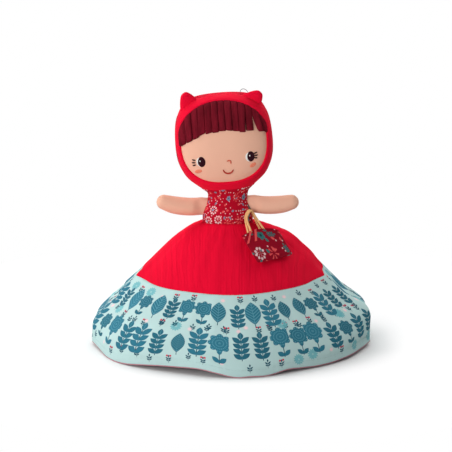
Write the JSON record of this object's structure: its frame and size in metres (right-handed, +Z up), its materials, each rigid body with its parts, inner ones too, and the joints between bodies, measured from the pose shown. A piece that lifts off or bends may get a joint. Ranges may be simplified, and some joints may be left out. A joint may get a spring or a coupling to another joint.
{
  "type": "topsy turvy doll",
  "caption": "Cloth doll standing in a wide skirt that turns over to show a second doll joined head down at the waist, with a small hanging basket.",
  "frame": {"origin": "on the floor, at the middle of the skirt's hem", "axes": "+Z up, the upright doll faces -Y, +X is its left hand and the viewer's right"},
  "size_m": [0.2977, 0.2988, 0.2765],
  "materials": {
    "red_jersey": "plain jersey",
    "red_gauze": "crinkled double gauze",
    "skin": "brushed jersey",
    "burgundy": "velour",
    "dark_print": "printed cotton",
    "mint_print": "printed cotton",
    "pink_lining": "plain cotton",
    "pink_print": "printed cotton",
    "mint_jersey": "plain jersey",
    "brown_velour": "velour",
    "cord": "twisted cotton cord",
    "thread": "sewing thread",
    "fibre": "loose polyester fibre"
  },
  "bodies": {
    "torso": {"upper_bodice": "dark_print", "lower_bodice": "pink_print", "body_stuffing": "fibre", "skirt_top_front": "red_gauze", "skirt_top_back": "red_gauze", "skirt_border_front": "mint_print", "skirt_border_back": "mint_print", "skirt_lining": "pink_lining"},
    "hem": {"skirt_hem": "mint_print"},
    "upper_head": {"upper_hood": "red_jersey", "upper_face": "skin", "upper_head_stuffing": "fibre", "upper_hair_fringe": "burgundy", "upper_ear_left": "red_jersey", "upper_ear_right": "red_jersey", "hood_hang_loop": "thread"},
    "lower_head": {"lower_bonnet": "mint_jersey", "lower_face": "skin", "lower_head_stuffing": "fibre", "lower_hair_fringe": "brown_velour"},
    "upper_arm_left": {"upper_arm_left": "skin", "upper_arm_left_stuffing": "fibre"},
    "upper_arm_right": {"upper_arm_right": "skin", "upper_arm_right_stuffing": "fibre"},
    "lower_arm_left": {"lower_arm_left": "skin", "lower_arm_left_stuffing": "fibre"},
    "lower_arm_right": {"lower_arm_right": "skin", "lower_arm_right_stuffing": "fibre"},
    "basket_knot": {"basket_knot": "thread"},
    "basket": {"basket_front": "dark_print", "basket_back": "dark_print", "basket_handle_front": "cord", "basket_handle_back": "cord"}
  },
  "joints": [
    {"name": "skirt_turnover", "type": "slide", "parent": "torso", "child": "hem", "axis": [0, 0, 1], "range_m": [0, 0.258], "deforming": ["skirt_top_front", "skirt_top_back", "skirt_border_front", "skirt_border_back", "skirt_lining"]},
    {"name": "upper_head_tilt", "type": "hinge", "parent": "torso", "child": "upper_head", "pos_m": [-0.005, 0, 0.168], "axis": [0, 1, 0], "range_deg": [-6, 14], "stiffness_Nm_per_rad": 0.25},
    {"name": "lower_head_tilt", "type": "hinge", "parent": "torso", "child": "lower_head", "pos_m": [-0.005, 0, 0.0876], "axis": [0, 1, 0], "range_deg": [-7, 7], "stiffness_Nm_per_rad": 0.25},
    {"name": "upper_arm_left_raise", "type": "hinge", "parent": "torso", "child": "upper_arm_left", "pos_m": [-0.032, 0, 0.1465], "axis": [0, 1, 0], "range_deg": [-22, 25], "stiffness_Nm_per_rad": 0.03},
    {"name": "upper_arm_right_raise", "type": "hinge", "parent": "torso", "child": "upper_arm_right", "pos_m": [0.022, 0, 0.1465], "axis": [0, -1, 0], "range_deg": [-22, 25], "stiffness_Nm_per_rad": 0.03},
    {"name": "lower_arm_left_raise", "type": "hinge", "parent": "torso", "child": "lower_arm_left", "pos_m": [-0.032, 0, 0.1091], "axis": [0, -1, 0], "range_deg": [-4, 11], "stiffness_Nm_per_rad": 0.03},
    {"name": "lower_arm_right_raise", "type": "hinge", "parent": "torso", "child": "lower_arm_right", "pos_m": [0.022, 0, 0.1091], "axis": [0, 1, 0], "range_deg": [-4, 11], "stiffness_Nm_per_rad": 0.03},
    {"name": "basket_swing", "type": "hinge", "parent": "torso", "child": "basket_knot", "pos_m": [0.01572, -0.01367, 0.1402], "axis": [0.4555, -0.4555, 0.7649], "range_deg": [-7, 7]},
    {"name": "basket_lift", "type": "hinge", "parent": "basket_knot", "child": "basket", "pos_m": [0.01572, -0.01367, 0.1449], "axis": [-0.7071, -0.7071, 0], "range_deg": [0, 100.6]}
  ],
  "couplings": [
    {"joint": "basket_lift", "follows": "skirt_turnover", "rad_per_m": 6.8}
  ]
}
